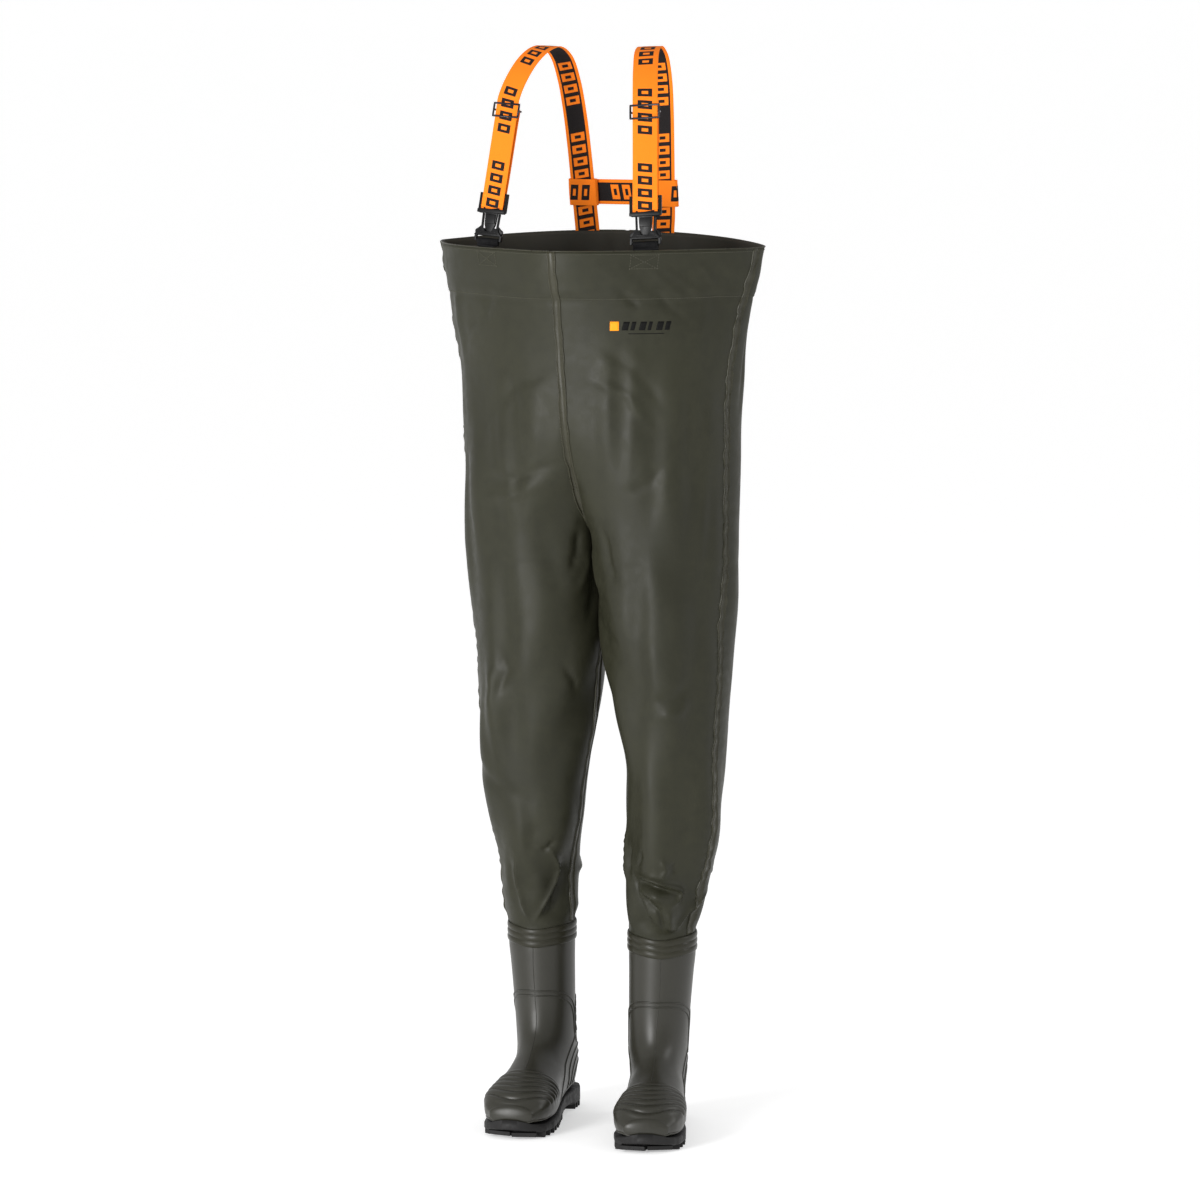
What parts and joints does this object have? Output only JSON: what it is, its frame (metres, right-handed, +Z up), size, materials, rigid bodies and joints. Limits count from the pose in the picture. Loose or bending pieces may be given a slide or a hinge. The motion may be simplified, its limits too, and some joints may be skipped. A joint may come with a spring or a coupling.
{
  "type": "chest waders",
  "caption": "Chest-high PVC fishing waders with welded boots, elastic H-back shoulder straps, side-release clips and wire adjusters.",
  "frame": {"origin": "on the floor, under the middle of the bounding box", "axes": "+Z up; the wearer faces -Y, so the wearer's left is +X"},
  "size_m": [0.5194, 0.3212, 1.6118],
  "materials": {
    "shell_pvc": "satin olive PVC on a woven base",
    "weld_tape": "smooth satin PVC weld",
    "boot_pvc": "satin grey-green moulded PVC",
    "band_pvc": "ribbed satin PVC",
    "outsole_rubber": "matt black rubber",
    "insole_foam": "matt felt-faced foam",
    "tab_webbing": "black woven webbing",
    "clip_plastic": "black moulded acetal",
    "adjuster_steel": "black nickel wire",
    "strap_webbing": "woven elastic webbing, orange outside and black inside"
  },
  "bodies": {
    "waders": {"front_left_panel": "shell_pvc", "front_right_panel": "shell_pvc", "back_left_panel": "shell_pvc", "back_right_panel": "shell_pvc", "front_hem_facing": "shell_pvc", "back_hem_facing": "shell_pvc", "centre_front_seam_tape": "weld_tape", "centre_back_seam_tape": "weld_tape", "side_seam_tape_left": "weld_tape", "side_seam_tape_right": "weld_tape", "inseam_tape_left": "weld_tape", "inseam_tape_right": "weld_tape", "boot_upper_left": "boot_pvc", "boot_upper_right": "boot_pvc", "cuff_band_left": "band_pvc", "cuff_band_right": "band_pvc", "boot_outsole_left": "outsole_rubber", "boot_outsole_right": "outsole_rubber", "boot_insole_left": "insole_foam", "boot_insole_right": "insole_foam", "front_tab_webbing_left": "tab_webbing", "front_tab_webbing_right": "tab_webbing", "buckle_socket_left": "clip_plastic", "buckle_socket_right": "clip_plastic", "shoulder_strap_left": "strap_webbing", "shoulder_strap_right": "strap_webbing"},
    "plug_left": {"buckle_plug_left": "clip_plastic"},
    "latch_left_outer": {"latch_arm_left_outer": "clip_plastic"},
    "latch_left_inner": {"latch_arm_left_inner": "clip_plastic"},
    "adjuster_left": {"strap_adjuster_left": "adjuster_steel"},
    "plug_right": {"buckle_plug_right": "clip_plastic"},
    "latch_right_outer": {"latch_arm_right_outer": "clip_plastic"},
    "latch_right_inner": {"latch_arm_right_inner": "clip_plastic"},
    "adjuster_right": {"strap_adjuster_right": "adjuster_steel"},
    "cross_strap": {"cross_strap": "strap_webbing"}
  },
  "joints": [
    {"name": "buckle_left_slide", "type": "slide", "parent": "waders", "child": "plug_left", "axis": [-0.0832, 0.186, 0.979], "range_m": [0, 0.03], "deforming": ["shoulder_strap_left"]},
    {"name": "latch_left_outer_flex", "type": "hinge", "parent": "plug_left", "child": "latch_left_outer", "pos_m": [0.13674, -0.08698, 1.36771], "axis": [-0.1253, 0.9727, -0.1955], "range_deg": [0, 5.5], "stiffness_Nm_per_rad": 0.06},
    {"name": "latch_left_inner_flex", "type": "hinge", "parent": "plug_left", "child": "latch_left_inner", "pos_m": [0.10905, -0.09087, 1.3661], "axis": [0.1253, -0.9727, 0.1955], "range_deg": [0, 5.5], "stiffness_Nm_per_rad": 0.06},
    {"name": "strap_left_adjust", "type": "slide", "parent": "plug_left", "child": "adjuster_left", "axis": [-0.0832, 0.186, 0.979], "range_m": [-0.1, 0.012], "deforming": ["shoulder_strap_left"]},
    {"name": "buckle_right_slide", "type": "slide", "parent": "waders", "child": "plug_right", "axis": [0.0832, 0.186, 0.979], "range_m": [0, 0.03], "deforming": ["shoulder_strap_right"]},
    {"name": "latch_right_outer_flex", "type": "hinge", "parent": "plug_right", "child": "latch_right_outer", "pos_m": [-0.13674, -0.08698, 1.36771], "axis": [-0.1253, -0.9727, 0.1955], "range_deg": [0, 5.5], "stiffness_Nm_per_rad": 0.06},
    {"name": "latch_right_inner_flex", "type": "hinge", "parent": "plug_right", "child": "latch_right_inner", "pos_m": [-0.10905, -0.09087, 1.3661], "axis": [0.1253, 0.9727, -0.1955], "range_deg": [0, 5.5], "stiffness_Nm_per_rad": 0.06},
    {"name": "strap_right_adjust", "type": "slide", "parent": "plug_right", "child": "adjuster_right", "axis": [0.0832, 0.186, 0.979], "range_m": [-0.1, 0.012], "deforming": ["shoulder_strap_right"]},
    {"name": "cross_strap_slide", "type": "slide", "parent": "waders", "child": "cross_strap", "axis": [0, -0.1512, 0.9885], "range_m": [-0.02, 0.03]}
  ],
  "couplings": [
    {"joint": "latch_left_inner_flex", "follows": "latch_left_outer_flex", "ratio": 1},
    {"joint": "latch_right_inner_flex", "follows": "latch_right_outer_flex", "ratio": 1}
  ]
}
